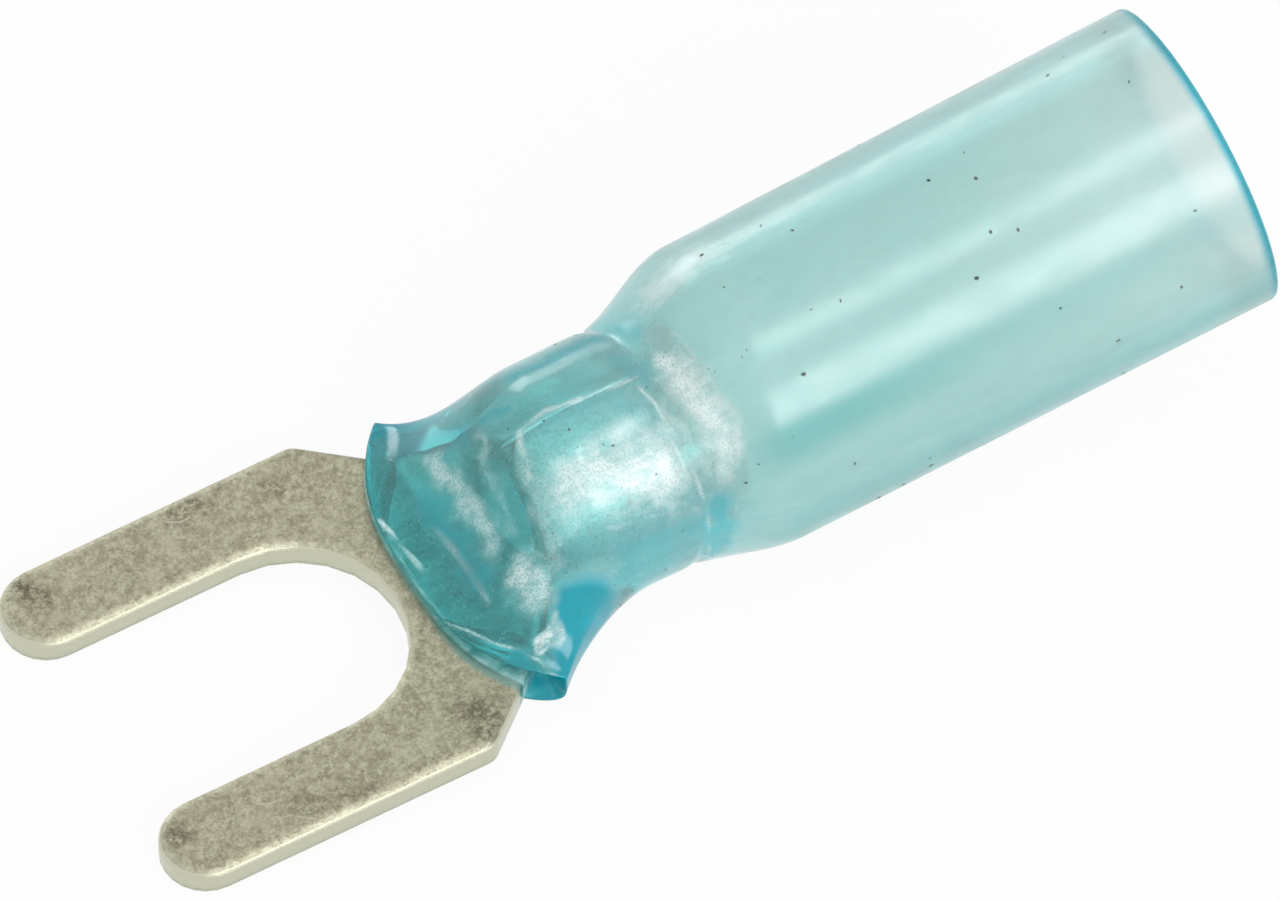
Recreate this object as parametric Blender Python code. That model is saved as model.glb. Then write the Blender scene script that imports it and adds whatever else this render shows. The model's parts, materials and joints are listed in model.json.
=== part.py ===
"""Heat-shrink fork terminal for a stranded wire.

The fork is one blank of tinned copper sheet: two prongs round a stud slot, a neck, and a tail that
is rolled up into a barrel with a butt seam. A thick heat-shrink sleeve grips the barrel, is pressed
flat over the neck and stands open behind the barrel, where the wire goes in.

Both pieces are drawn in the fork's own frame: its origin is the centre of the slot's round end, on
the underside of the sheet, X runs towards the wire, Y across the fork and Z up. At the end they are
turned to the way the loose part lies on a table, on its prong tips and the sleeve's belly.
"""

import math

import bmesh
import bpy
from mathutils import Vector

MM = 0.001

# Sheet and clearance
SHEET = 0.72 * MM
TOP_EDGE_ROLL = 0.12 * MM
UNDER_EDGE_ROLL = 0.05 * MM
CLEARANCE = 0.10 * MM

# Fork: an M5 stud slides into the slot
STUD_SLOT_WIDTH = 5.30 * MM
PRONG_WIDTH = 2.20 * MM
PRONG_LENGTH = 5.66 * MM
SHOULDER_SETBACK = 2.58 * MM
SHOULDER_RADIUS = 0.45 * MM

# Neck and barrel
NECK_WIDTH = 5.00 * MM
NECK_LENGTH = 0.50 * MM
NECK_RADIUS = 0.22 * MM
BARREL_DIAMETER = 3.80 * MM
BARREL_START = 5.90 * MM
BARREL_LENGTH = 5.00 * MM
BARREL_FRONT_CORNER = 0.70 * MM
BARREL_REAR_CORNER = 0.35 * MM
SEAM_GAP = 0.10 * MM
SEAM_TURN = math.radians(16.0)
BEND_START = 4.60 * MM
BEND_END = 6.05 * MM

# Sleeve where it is pressed flat over the neck
LIP_SETBACK = 0.40 * MM
LIP_WIDTH = 8.75 * MM
LIP_CORNER_SETBACK = 1.52 * MM
LIP_TOP_WALL = 0.28 * MM
LIP_SIDE_WALL = 0.52 * MM
LIP_UNDER_WALL = 0.27 * MM
LIP_CORNER_RISE = 0.78 * MM
LIP_TOP_SQUARENESS = 3.1
LIP_UNDER_SQUARENESS = 6.0
LIP_SLOT_SQUARENESS = 8.0
LIP_EDGE_ROUND = 0.08 * MM

# Sleeve where it grips the barrel
POCKET_START = 3.64 * MM
CROWN_START = 7.00 * MM
GRIP_START = 8.20 * MM
GRIP_WALL = 1.02 * MM
GRIP_RISE = 0.11 * MM
FLARE_POWER = 2.5

# Sleeve's cone and its open tube
CONE_START = 9.00 * MM
CONE_END = 11.73 * MM
CONTACT_END = 9.40 * MM
TUBE_LENGTH = 12.40 * MM
TUBE_START_DIAMETER = 7.50 * MM
TUBE_MOUTH_DIAMETER = 7.63 * MM
TUBE_WALL = 0.70 * MM
TUBE_RISE = 0.57 * MM
TUBE_PITCH = math.radians(3.8)
MOUTH_LEAN = math.radians(5.6)
MOUTH_EDGE_ROUND = 0.06 * MM

# Facets
SAME_POINT = 0.001 * MM
SNAP = 0.02 * MM
CORNER_STEP = math.radians(15.0)
BARREL_STEPS = 40
NECK_STEPS = 9
SLEEVE_SIDES = 48
NECK_RINGS = 15
CONE_RINGS = 9

# Values that follow from the sizes above
SLOT_RADIUS = STUD_SLOT_WIDTH / 2
FORK_HALF = SLOT_RADIUS + PRONG_WIDTH
BARREL_RADIUS = BARREL_DIAMETER / 2
ROLL_RADIUS = BARREL_RADIUS - SHEET / 2
BARREL_END = BARREL_START + BARREL_LENGTH
LIP_FRONT = SLOT_RADIUS + LIP_SETBACK
BORE_RADIUS = BARREL_RADIUS + CLEARANCE
GRIP_RADIUS = BORE_RADIUS + GRIP_WALL
TUBE_END = CONE_END + TUBE_LENGTH


def clear_scene():
    """Remove every object that the file starts with."""
    for thing in list(bpy.data.objects):
        bpy.data.objects.remove(thing, do_unlink=True)


def make_material(name, colour, roughness, metallic, transmission=0.0):
    """Plain Principled material with the finish of one piece."""
    material = bpy.data.materials.new(name)
    material.use_nodes = True
    shader = material.node_tree.nodes["Principled BSDF"]
    shader.inputs["Base Color"].default_value = (*colour, 1.0)
    shader.inputs["Roughness"].default_value = roughness
    shader.inputs["Metallic"].default_value = metallic
    shader.inputs["Transmission Weight"].default_value = transmission
    return material


def blend(start, end, x):
    """Smooth step: 0 up to start, 1 from end on."""
    t = min(max((x - start) / (end - start), 0.0), 1.0)
    return t * t * (3.0 - 2.0 * t)


def mix(a, b, share):
    """Value that lies the given share of the way from a to b."""
    return a + (b - a) * share


def round_corner(before, corner, after, radius):
    """Points of the arc that rounds one corner of an outline."""
    to_before = (before - corner).normalized()
    to_after = (after - corner).normalized()
    half_opening = to_before.angle(to_after) / 2
    centre = corner + (to_before + to_after).normalized() * (radius / math.sin(half_opening))
    reach = radius / math.tan(half_opening)
    first = corner + to_before * reach - centre
    last = corner + to_after * reach - centre
    turn = first.angle_signed(last)
    steps = max(2, round(abs(turn) / CORNER_STEP))
    points = []
    for step in range(steps + 1):
        angle = math.atan2(first.y, first.x) - turn * step / steps
        points.append(centre + Vector((math.cos(angle), math.sin(angle))) * radius)
    return points


def blank_outline():
    """Outline of the flat blank, anticlockwise, with every corner rounded."""
    half_neck = NECK_WIDTH / 2
    tip_radius = PRONG_WIDTH / 2
    neck_start = BARREL_START - NECK_LENGTH
    half_seam = SEAM_GAP / 2
    girth = 2 * math.pi * ROLL_RADIUS
    long_wing = girth / 2 + ROLL_RADIUS * SEAM_TURN - half_seam
    short_wing = girth / 2 - ROLL_RADIUS * SEAM_TURN - half_seam
    corners = [
        (-PRONG_LENGTH, FORK_HALF, tip_radius),
        (-PRONG_LENGTH, SLOT_RADIUS, tip_radius),
        (SLOT_RADIUS, SLOT_RADIUS, SLOT_RADIUS),
        (SLOT_RADIUS, -SLOT_RADIUS, SLOT_RADIUS),
        (-PRONG_LENGTH, -SLOT_RADIUS, tip_radius),
        (-PRONG_LENGTH, -FORK_HALF, tip_radius),
        (SHOULDER_SETBACK, -FORK_HALF, SHOULDER_RADIUS),
        (neck_start, -half_neck, NECK_RADIUS),
        (BARREL_START, -half_neck, NECK_RADIUS),
        (BARREL_START, -long_wing, BARREL_FRONT_CORNER),
        (BARREL_END, -long_wing, BARREL_REAR_CORNER),
        (BARREL_END, short_wing, BARREL_REAR_CORNER),
        (BARREL_START, short_wing, BARREL_FRONT_CORNER),
        (BARREL_START, half_neck, NECK_RADIUS),
        (neck_start, half_neck, NECK_RADIUS),
        (SHOULDER_SETBACK, FORK_HALF, SHOULDER_RADIUS),
    ]
    outline = []
    for index, (x, y, radius) in enumerate(corners):
        before = Vector(corners[index - 1][:2])
        after = Vector(corners[(index + 1) % len(corners)][:2])
        for point in round_corner(before, Vector((x, y)), after, radius):
            if not outline or (point - outline[-1]).length > SAME_POINT:
                outline.append(point)
    return outline


def stamp_blank():
    """Flat slab with the blank's outline and the rounded edges that the punch leaves."""
    mesh = bmesh.new()
    underside = mesh.faces.new([mesh.verts.new((p.x, p.y, 0.0)) for p in blank_outline()])
    extruded = bmesh.ops.extrude_face_region(mesh, geom=[underside])["geom"]
    lifted = [item for item in extruded if isinstance(item, bmesh.types.BMVert)]
    bmesh.ops.translate(mesh, verts=lifted, vec=(0.0, 0.0, SHEET))
    bmesh.ops.recalc_face_normals(mesh, faces=mesh.faces)
    for height, roll in ((SHEET, TOP_EDGE_ROLL), (0.0, UNDER_EDGE_ROLL)):
        rim = [e for e in mesh.edges if all(abs(v.co.z - height) < SHEET / 100 for v in e.verts)]
        bmesh.ops.bevel(mesh, geom=rim, offset=roll, segments=2, profile=0.5, affect="EDGES")
    return mesh


def slice_blank(mesh):
    """Cut the slab along the lines where it will bend."""
    cuts = []
    for step in range(NECK_STEPS + 1):
        x = mix(BEND_START, BEND_END, step / NECK_STEPS)
        cuts.append((Vector((x, 0.0, 0.0)), Vector((1.0, 0.0, 0.0))))
    strip = 2 * math.pi * ROLL_RADIUS / BARREL_STEPS
    for step in range(-BARREL_STEPS, BARREL_STEPS + 1):
        cuts.append((Vector((0.0, (step + 0.5) * strip, 0.0)), Vector((0.0, 1.0, 0.0))))
    for point, normal in cuts:
        faces = [f for f in mesh.faces if max(v.co.x for v in f.verts) > BEND_START * 1.0001]
        edges = {edge for face in faces for edge in face.edges}
        verts = {vert for face in faces for vert in face.verts}
        geometry = faces + list(edges) + list(verts)
        bmesh.ops.bisect_plane(mesh, geom=geometry, dist=SNAP, plane_co=point, plane_no=normal)


def roll_up(mesh):
    """Bend the slab round the X axis, from flat at the neck to a closed barrel."""
    for vert in mesh.verts:
        bend = blend(BEND_START, BEND_END, vert.co.x)
        if bend > 0.0:
            radius = ROLL_RADIUS / bend
            angle = vert.co.y / radius
            reach = radius + SHEET / 2 - vert.co.z
            vert.co.y = reach * math.sin(angle)
            vert.co.z = radius + SHEET / 2 - reach * math.cos(angle)


def make_fork():
    """The stamped and rolled fork."""
    mesh = stamp_blank()
    slice_blank(mesh)
    bmesh.ops.triangulate(mesh, faces=[f for f in mesh.faces if len(f.verts) > 4])
    roll_up(mesh)
    return mesh


def lip_share(x):
    """How much of the pressed lip's form is left at a station: 1 at its edge, 0 at the grip."""
    return min(max((GRIP_START - x) / (GRIP_START - LIP_FRONT), 0.0), 1.0)


def tube_rise(x):
    """Height of the tube's own axis at a station."""
    return BARREL_RADIUS + TUBE_RISE + math.tan(TUBE_PITCH) * (x - CONE_END)


def flare(x):
    """Half-width of the sleeve's outside up to the cone."""
    return mix(GRIP_RADIUS, LIP_WIDTH / 2, lip_share(x) ** FLARE_POWER)


def outer_section(x):
    """Half-width, side height, top, bottom and the two squarenesses of the sleeve's outside."""
    share = lip_share(x) ** 2
    grip_axis = BARREL_RADIUS + GRIP_RISE
    if x <= CONE_START:
        half_width = flare(x)
        settle = blend(LIP_FRONT, GRIP_START, x)
        side = mix(LIP_CORNER_RISE, grip_axis, settle)
        top = mix(SHEET + CLEARANCE + LIP_TOP_WALL, grip_axis + GRIP_RADIUS, blend(LIP_FRONT, CROWN_START, x))
        bottom = mix(-CLEARANCE - LIP_UNDER_WALL, grip_axis - GRIP_RADIUS, settle)
    else:
        spread = blend(CONE_START, CONE_END, x)
        tube_radius = TUBE_START_DIAMETER / 2
        if x > CONE_END:
            run = (x - CONE_END) / TUBE_LENGTH
            tube_radius = mix(tube_radius, TUBE_MOUTH_DIAMETER / 2, run)
        half_width = mix(GRIP_RADIUS, tube_radius, spread)
        side = mix(grip_axis, tube_rise(max(x, CONE_END)), spread)
        top = side + half_width
        bottom = side - half_width
    squareness = mix(2.0, LIP_TOP_SQUARENESS, share), mix(2.0, LIP_UNDER_SQUARENESS, share)
    return half_width, side, top, bottom, *squareness


def inner_section(x):
    """The same six values for the sleeve's inside, which clears the fork."""
    share = lip_share(x)
    if x <= CONTACT_END:
        half_width = flare(x) - mix(GRIP_WALL, LIP_SIDE_WALL, share)
        settle = blend(POCKET_START, BARREL_START - CLEARANCE, x)
        side = mix(SHEET / 2, BARREL_RADIUS, settle)
        top = mix(SHEET + CLEARANCE, BARREL_RADIUS + BORE_RADIUS, settle)
        bottom = -CLEARANCE
    else:
        spread = blend(CONTACT_END, CONE_END, x)
        tube_half, tube_side = outer_section(max(x, CONE_END))[:2]
        half_width = mix(BORE_RADIUS, tube_half - TUBE_WALL, spread)
        side = mix(BARREL_RADIUS, tube_side, spread)
        top = side + half_width
        bottom = side - half_width
    squareness = mix(2.0, LIP_SLOT_SQUARENESS, share ** 2)
    return half_width, side, top, bottom, squareness, squareness


def section_ring(mesh, x, section, inset=0.0):
    """Vertices of one closed ring of the sleeve, bowed at the lip and leaning at the mouth."""
    half_width, side, top, bottom, upper_squareness, lower_squareness = section
    bow = LIP_CORNER_SETBACK * lip_share(x)
    lean = math.tan(MOUTH_LEAN) * max(x - CONE_END, 0.0) / TUBE_LENGTH
    ring = []
    for step in range(SLEEVE_SIDES):
        angle = 2 * math.pi * (step + 0.5) / SLEEVE_SIDES
        upper = math.sin(angle) > 0.0
        power = 2 / (upper_squareness if upper else lower_squareness)
        across = math.copysign(abs(math.cos(angle)) ** power, math.cos(angle))
        height = (top - side - inset if upper else bottom - side + inset) * abs(math.sin(angle)) ** power
        place = x + bow * abs(across) ** 3 - lean * height
        ring.append(mesh.verts.new((place, (half_width - inset) * across, side + height)))
    return ring


def sleeve_stations():
    """Places along X of the sleeve's rings, closer where its form changes."""
    edge = LIP_FRONT + LIP_EDGE_ROUND
    stations = [mix(edge, CONE_START, step / NECK_RINGS) for step in range(NECK_RINGS)]
    stations += [mix(CONE_START, CONE_END, step / CONE_RINGS) for step in range(CONE_RINGS)]
    stations += [CONE_END, mix(CONE_END, TUBE_END, 0.5), TUBE_END - MOUTH_EDGE_ROUND]
    return stations


def make_sleeve():
    """The sleeve, as one skin that runs out along its outside and back along its inside."""
    mesh = bmesh.new()
    stations = sleeve_stations()
    rings = [section_ring(mesh, LIP_FRONT, outer_section(LIP_FRONT), LIP_EDGE_ROUND)]
    rings += [section_ring(mesh, x, outer_section(x)) for x in stations]
    rings.append(section_ring(mesh, TUBE_END, outer_section(TUBE_END), MOUTH_EDGE_ROUND))
    rings.append(section_ring(mesh, TUBE_END, inner_section(TUBE_END), -MOUTH_EDGE_ROUND))
    rings += [section_ring(mesh, x, inner_section(x)) for x in reversed(stations)]
    rings.append(section_ring(mesh, LIP_FRONT, inner_section(LIP_FRONT)))
    for ring, following in zip(rings, rings[1:] + rings[:1]):
        for side in range(SLEEVE_SIDES):
            after = (side + 1) % SLEEVE_SIDES
            mesh.faces.new((ring[side], ring[after], following[after], following[side]))
    bmesh.ops.recalc_face_normals(mesh, faces=mesh.faces)
    return mesh


def add_piece(name, mesh, material, carrier):
    """Turn a finished shape into an object that the carrier holds."""
    data = bpy.data.meshes.new(name)
    mesh.to_mesh(data)
    mesh.free()
    data.materials.append(material)
    data.shade_smooth()
    data.set_sharp_from_angle(angle=math.radians(35.0))
    piece = bpy.data.objects.new(name, data)
    bpy.context.scene.collection.objects.link(piece)
    piece.parent = carrier
    return piece


def lay_down(carrier, fork, sleeve):
    """Turn and lift the part so that its prong tips and its sleeve rest on the plane z = 0."""
    toe = min(v.co.x for v in fork.data.vertices if v.co.z < SHEET / 100)
    beyond = [v.co for v in sleeve.data.vertices if v.co.z < 0.0 and v.co.x > toe]
    pitch = max(math.atan2(-point.z, point.x - toe) for point in beyond)
    carrier.rotation_euler = (0.0, -pitch, 0.0)
    bpy.context.view_layer.update()
    turned = [piece.matrix_world @ v.co for piece in (fork, sleeve) for v in piece.data.vertices]
    middle = (min(p.x for p in turned) + max(p.x for p in turned)) / 2
    carrier.location = (-middle, 0.0, -min(p.z for p in turned))
    bpy.context.view_layer.update()


def main():
    clear_scene()
    carrier = bpy.data.objects.new("carrier", None)
    bpy.context.scene.collection.objects.link(carrier)
    tinned_copper = make_material("tinned_copper", (0.62, 0.59, 0.52), 0.38, 1.0)
    blue_sleeve = make_material("blue_sleeve", (0.30, 0.68, 0.72), 0.22, 0.0, 0.6)
    fork = add_piece("fork_terminal", make_fork(), tinned_copper, carrier)
    sleeve = add_piece("shrink_sleeve", make_sleeve(), blue_sleeve, carrier)
    lay_down(carrier, fork, sleeve)


main()
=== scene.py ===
"""Looks of the heat-shrink fork terminal: tinned sheet metal under a clear blue shrink sleeve.

Everything is drawn in the fork's own frame, in metres: the origin is the centre of the slot's round
end on the underside of the sheet, X runs towards the wire, Y across the fork and Z up. The finished
meshes are then turned the way the part lies on the table.
"""

import json
import math

import bmesh
import bpy
import numpy as np
from mathutils import Matrix, Vector, noise


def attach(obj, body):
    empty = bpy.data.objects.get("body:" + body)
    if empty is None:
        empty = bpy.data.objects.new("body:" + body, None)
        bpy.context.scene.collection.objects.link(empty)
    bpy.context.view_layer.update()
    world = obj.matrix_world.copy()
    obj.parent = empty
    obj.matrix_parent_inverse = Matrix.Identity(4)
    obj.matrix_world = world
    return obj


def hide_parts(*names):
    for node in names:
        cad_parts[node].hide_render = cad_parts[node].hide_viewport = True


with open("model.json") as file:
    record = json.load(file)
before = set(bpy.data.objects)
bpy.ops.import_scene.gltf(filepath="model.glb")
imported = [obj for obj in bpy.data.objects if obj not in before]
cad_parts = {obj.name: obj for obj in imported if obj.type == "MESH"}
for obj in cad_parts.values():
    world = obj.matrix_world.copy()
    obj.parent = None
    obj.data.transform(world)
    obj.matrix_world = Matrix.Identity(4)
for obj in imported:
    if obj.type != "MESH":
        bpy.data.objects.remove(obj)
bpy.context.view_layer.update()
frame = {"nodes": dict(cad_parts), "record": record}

MM = 0.001

# Fork, as in the CAD
SHEET = 0.72 * MM
PRONG_MIDDLE = 3.75 * MM
BARREL_RADIUS = 1.90 * MM
BARREL_START = 5.90 * MM
BARREL_END = 10.90 * MM
SEAM_TURN = math.radians(16.0)

# Sleeve, as in the CAD
LIP_FRONT = 3.05 * MM
LIP_WIDTH = 8.75 * MM
LIP_CORNER_SETBACK = 1.52 * MM
LIP_TOP = 1.10 * MM
LIP_UNDER = -0.30 * MM
LIP_CORNER_RISE = 0.78 * MM
LIP_TOP_SQUARENESS = 3.1
LIP_UNDER_SQUARENESS = 6.0
CROWN_START = 7.00 * MM
GRIP_START = 8.20 * MM
GRIP_RADIUS = 3.02 * MM
GRIP_AXIS = 2.01 * MM
FLARE_POWER = 2.5
CONE_START = 9.00 * MM
CONE_END = 11.73 * MM
TUBE_END = 24.13 * MM
TUBE_START_RADIUS = 3.75 * MM
TUBE_MOUTH_RADIUS = 3.815 * MM
TUBE_WALL = 0.70 * MM
TUBE_START_RISE = 2.47 * MM
TUBE_SLOPE = math.tan(math.radians(3.8))
TUBE_LEVEL = TUBE_START_RISE - TUBE_SLOPE * CONE_END
MOUTH_SLOPE = math.tan(math.radians(5.6))

# The lip's near corner, set back and tucked in
LOW_CORNER_SETBACK = 0.30 * MM
LOW_CORNER_TUCK = 0.20 * MM

# Where the lining wets the metal
WET_RADIUS = 1.55 * MM
WET_END = 9.35 * MM
WET_STEP = 0.25 * MM
PLUG_START = 6.15 * MM
PLUG_DISH = 0.35 * MM
BORE_MARGIN = 1.02

# Lining squeezed out of the seam
SEAM_BEAD = 0.075 * MM
SEAM_SUNK = 0.55
SEAM_FRONT_GAP = 0.05 * MM
SEAM_BACK_GAP = 0.10 * MM
SEAM_STEPS = 60
SEAM_SIDES = 8

# Relief of the shrunk skin: depths, where the folds fade, and their rates in waves per metre
CREASE = 9.25 * MM
CREASE_WIDTH = 0.16 * MM
CREASE_DEPTH = 0.07 * MM
CREASE_SWAY = 0.12 * MM
NECK_WRINKLE = 0.05 * MM
GRIP_WRINKLE = 0.025 * MM
TUBE_WRINKLE = 0.006 * MM
NECK_FADE_IN = 1.0 * MM
NECK_FADE_OUT = (6.6 * MM, 8.0 * MM)
GRIP_FADE_IN = (6.0 * MM, 7.5 * MM)
NECK_FOLD_RATES = (330.0, 900.0)
GRIP_FOLD_RATE = 520.0
TUBE_FOLD_RATES = (90.0, 260.0)

# Facets of the sleeve
SIDES = 240
SHRUNK_RINGS = 200
TUBE_RINGS = 50
INNER_RINGS = 70
SPECK_RINGS = 12
LIP_FACE_SHARES = (0.12, 0.35, 0.6, 0.85)
PLUG_SHARES = (0.8, 0.5, 0.2)
EDGE_ROUND = 0.07 * MM
EDGE_TURN = EDGE_ROUND * 0.3

# What shows in the skin, in plan: strength, width and fuzz, then the points it runs through, in
# millimetres. First the white patches: air under the skin, and painted highlights on the barrel
# and the cone.
AIR_AND_HIGHLIGHT_PATCHES = (
    (0.75, 0.36, 1.0, (4.75, 1.90), (4.70, 0.00), (4.72, -1.10)),
    (0.40, 0.18, 1.0, (5.60, 1.30), (5.30, 0.20), (5.10, -1.30)),
    (0.85, 0.60, 0.8, (4.90, -2.05), (5.05, -2.45)),
    (0.90, 0.24, 0.5, (4.75, -3.35), (5.15, -3.20)),
    (0.40, 0.30, 0.8, (5.90, -0.30), (5.75, -1.50), (5.60, -2.40)),
    # Painted highlight: the next two whiten the barrel where its metal shines through the sleeve.
    (0.95, 1.05, 0.9, (6.50, -1.55), (8.65, -2.10)),
    (0.60, 0.50, 0.9, (7.90, -1.10), (8.90, -1.50)),
    (0.85, 0.62, 0.9, (9.80, -0.20), (10.00, -1.20), (10.15, -2.40)),
    (0.35, 0.35, 1.0, (9.20, -0.90), (9.55, -2.30)),
    # Painted highlight: the last two lighten the cone and the start of the tube.
    (0.60, 0.90, 1.0, (10.55, 1.70), (11.90, 1.80)),
    (0.15, 0.60, 1.0, (12.00, 1.85), (14.50, 1.95)),
)
# Bright lines along the folds, the seam and the lip's cut edge: partly air under the skin, partly
# painted highlight.
FOLD_AIR_AND_HIGHLIGHT_LINES = (
    (0.75, 0.09, 0.7, (6.15, 0.25), (9.10, -0.05)),
    (0.75, 0.14, 0.9, (6.15, 0.25), (6.02, 0.05), (5.85, -0.70)),
    (0.40, 0.12, 0.9, (5.85, -0.70), (5.78, -1.40), (5.84, -2.20)),
    (0.40, 0.09, 1.0, (6.90, -2.58), (9.50, -2.82)),
    (0.22, 0.10, 1.0, (10.30, 0.30), (10.42, -1.00), (10.50, -2.40)),
    (0.55, 0.08, 0.9, (9.00, -0.30), (9.14, -0.90), (9.25, -2.00), (9.38, -2.95)),
    (0.90, 0.08, 0.6, (3.24, 1.70), (3.35, 0.10)),
    (0.55, 0.04, 0.7, (3.20, 1.75), (3.12, 0.60), (3.10, -0.40), (3.17, -1.50)),
    (0.50, 0.11, 0.9, (4.01, 0.50), (4.13, -0.86), (4.13, -1.82)),
    (0.70, 0.055, 0.7, (3.17, -1.55), (3.74, -2.47), (4.23, -3.06), (4.52, -3.49), (4.72, -4.15)),
)
DEEP_PATCHES = (
    (0.85, 0.42, 0.9, (4.17, 1.50), (4.15, 0.00), (4.22, -1.30)),
    (0.85, 0.32, 1.0, (5.80, 1.40), (6.25, 0.95)),
    (0.80, 0.30, 1.0, (5.40, 1.70), (5.30, 1.28)),
    (0.85, 0.42, 1.0, (5.10, 3.35), (5.90, 2.65)),
    (0.95, 0.26, 0.4, (4.40, 4.02), (4.64, 3.82)),
    (0.45, 0.50, 0.7, (4.61, 3.61), (4.94, 2.83), (5.14, 1.90)),
    (0.90, 0.45, 0.7, (4.14, -3.32), (4.25, -4.05), (4.63, -4.23)),
    (0.60, 0.50, 1.0, (8.91, 0.66), (9.38, -0.18)),
    (0.50, 0.40, 1.0, (8.43, -0.40), (8.82, -1.12)),
    (0.80, 0.45, 1.0, (9.35, -2.95), (9.75, -3.15)),
    (0.70, 0.50, 1.0, (9.50, 1.45), (9.65, 1.00)),
    (0.90, 0.85, 1.0, (6.90, 1.70), (8.90, 1.70)),
    (0.70, 0.60, 1.0, (7.20, -2.95), (9.20, -3.00)),
    (0.50, 0.30, 1.0, (6.55, -0.10), (8.60, -0.35)),
)
GREY_PATCHES = (
    (0.60, 0.40, 1.0, (10.05, 0.62), (10.00, 0.20)),
)
SKIN_MARKS = "skin_marks"

# Unevenness of those marks, in millimetres: how far their edges wander, the size of the blobs, and
# how far off the noise is read for each of the two directions. noise_vector would change in each run.
AIR_AND_HIGHLIGHT_WANDER = 0.16
LINE_WANDER = 0.04
DEEP_WANDER = 0.20
GREY_WANDER = 0.16
WANDER_SIZES = (0.55, 0.22)
WANDER_SHIFTS = ((3.1, 7.9, 1.3), (5.7, 2.1, 9.8))
FEATHER_SIZE = (0.30, 0.12, 0.30)
SOFT_SIZE = 0.45
MARKS_FADE = 0.1

# Wear of the open tin, written like the marks
SMUDGES = (
    (0.75, 0.50, 0.9, (-4.80, 4.45), (-4.70, 3.95)),
    (0.75, 0.50, 0.9, (-5.20, -3.40), (-5.05, -3.45)),
    (0.70, 0.80, 0.9, (2.60, -3.70), (2.75, -4.60)),
    (0.60, 0.40, 0.9, (-0.75, 4.45), (0.10, 4.50)),
    (0.50, 0.40, 0.9, (-2.40, -4.10), (-0.60, -4.40)),
    (0.55, 0.35, 0.9, (1.60, 4.20), (1.80, 3.70)),
)
SCRATCHES = (
    (0.60, 0.035, 0.6, (-0.98, 4.42), (-0.72, 4.24), (-0.45, 4.24)),
    (0.45, 0.025, 0.6, (-3.10, -3.55), (-2.70, -3.75)),
    (0.45, 0.025, 0.6, (-2.40, -4.35), (-2.10, -4.62)),
    (0.40, 0.025, 0.6, (1.70, 4.12), (1.80, 3.80)),
)

# Tints of the plastic from the lip to the mouth: a place on the ramp, then the tint
RAMP_PER_MM = 0.04
LENGTH_TINTS = (
    (0.13, (0.11, 0.77, 0.79)),
    (0.20, (0.30, 0.85, 0.865)),
    (0.27, (0.74, 0.94, 0.93)),
    (0.36, (0.85, 0.94, 0.93)),
    (0.47, (0.82, 0.90, 0.875)),
    (0.68, (0.83, 0.895, 0.87)),
    (0.86, (0.92, 0.925, 0.90)),
)
# Greyer towards the mouth: painted shade, for the shadow on the floor seen through one wall
MOUTH_SHADE_TINT = (0.86, 0.83, 0.80)
BARE_TINT = (0.0, 0.38, 0.48)
RIM_TINT = (0.10, 0.62, 0.76)
DEEP_TINT = (0.0, 0.50, 0.58)
GREY_TINT = (0.28, 0.38, 0.36)
GRIT_TINT = (0.16, 0.32, 0.30)
# White of the air under the skin, and of the painted highlights
AIR_AND_HIGHLIGHT_TINT = (0.93, 0.98, 0.97)
BAND_SHADE = (0.62, 0.88, 0.89)
BODY_TINT = (0.05, 0.895, 0.91, 1.0)
BODY_DENSITY = 440.0
PLASTIC_IOR = 1.5

# How far each mark closes the plastic
BARE_CLOSES = 0.75
DEEP_CLOSES = 0.40
GREY_CLOSES = 0.50
AIR_AND_HIGHLIGHT_CLOSES = 0.85

# Wedges of bare plastic on the flanks: how their front slants and their top tapers in plan
WEDGE_SLANT = 1.6
WEDGE_TAPER = -0.29

# Painted shade in two deeper bands of the tube: the side they lie on, and what is left of the upper
# one at the mouth
BAND_TURN = math.radians(59.2)
BAND_REST = 0.35

# Stretches of the sleeve, in millimetres: a share is 0 at the first value and 1 at the second
WEDGE_FRONT = (10.8, 11.7)
WEDGE_TOP = (0.86, 1.26)
WEDGE_END = (8.4, 7.2)
UNDERSIDE = (0.8, 0.4)
CORNER_SIDE = (3.9, 4.15)
CORNER_FRONT = (4.0, 4.4)
MOUTH_FADE = (22.8, 23.6)
RIM_FADE = (24.20, 24.36)
BAND_TOP = (0.95, 1.45)
BAND_FOOT = (2.40, 1.65)
BAND_FADE = (17.5, 12.5)
OUTLINE_FADE = (3.05, 3.60)
TUBE_FADE = (10.4, 11.6)
FROST_END = (10.2, 10.8)
GRIT_END = (10.6, 9.8)
HAZE_FADE = (7.0, 11.0)
GLOSS_FADE = (5.5, 11.0)

# Grain of the surfaces: size of its blobs in millimetres, and the middle stretch of a noise's values
PLASTIC_UNEVEN = 0.45
FROST_GRAIN = 0.06
TIN_GRAIN = 0.075
TIN_MOTTLE = 0.70
TIN_BLOTCH = 0.22
TIN_FLOW = 0.35
SMUDGE_GRAIN = 0.16
NOISE_SPREAD = (0.3, 0.7)

# Clearness and roughness: from the grip to the tube, or over a noise's values
PLASTIC_CLEAR = (0.90, 0.80)
PLASTIC_ROUGHNESS = (0.09, 0.225)
TIN_ROUGHNESS = (0.52, 0.36)
COVERED_ROUGHNESS = (0.46, 0.62)
LINING_ROUGHNESS = (0.40, 0.60)
GRIME_ROUGHNESS = (0.6, 0.9)
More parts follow.
